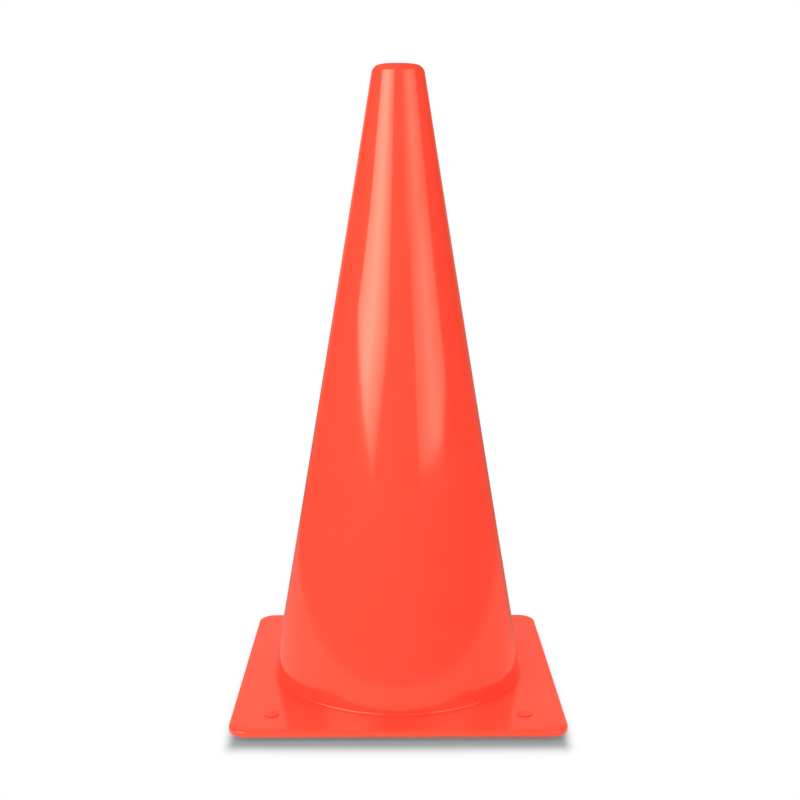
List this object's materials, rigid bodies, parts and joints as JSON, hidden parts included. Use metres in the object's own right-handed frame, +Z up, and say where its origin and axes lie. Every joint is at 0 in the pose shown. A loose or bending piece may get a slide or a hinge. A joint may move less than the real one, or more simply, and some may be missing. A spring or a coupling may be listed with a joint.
{
  "type": "sports marker cone",
  "caption": "Tall hollow plastic marker cone with a rounded open top, snapped into a thin square base plate that stands on small push-in corner feet.",
  "frame": {"origin": "on the ground under the cone's axis, midway between the four feet", "axes": "+Z up along the cone's axis, -Y towards the front, the side that the picture shows"},
  "size_m": [0.194, 0.194, 0.38],
  "materials": {
    "cone_plastic": "glossy moulded orange-red",
    "base_plastic": "glossy moulded orange-red",
    "foot_plastic": "satin moulded orange-red"
  },
  "bodies": {
    "root": {"cone_shell": "cone_plastic", "base_plate": "base_plastic", "foot_front_left": "foot_plastic", "foot_front_right": "foot_plastic", "foot_rear_left": "foot_plastic", "foot_rear_right": "foot_plastic"}
  },
  "joints": []
}
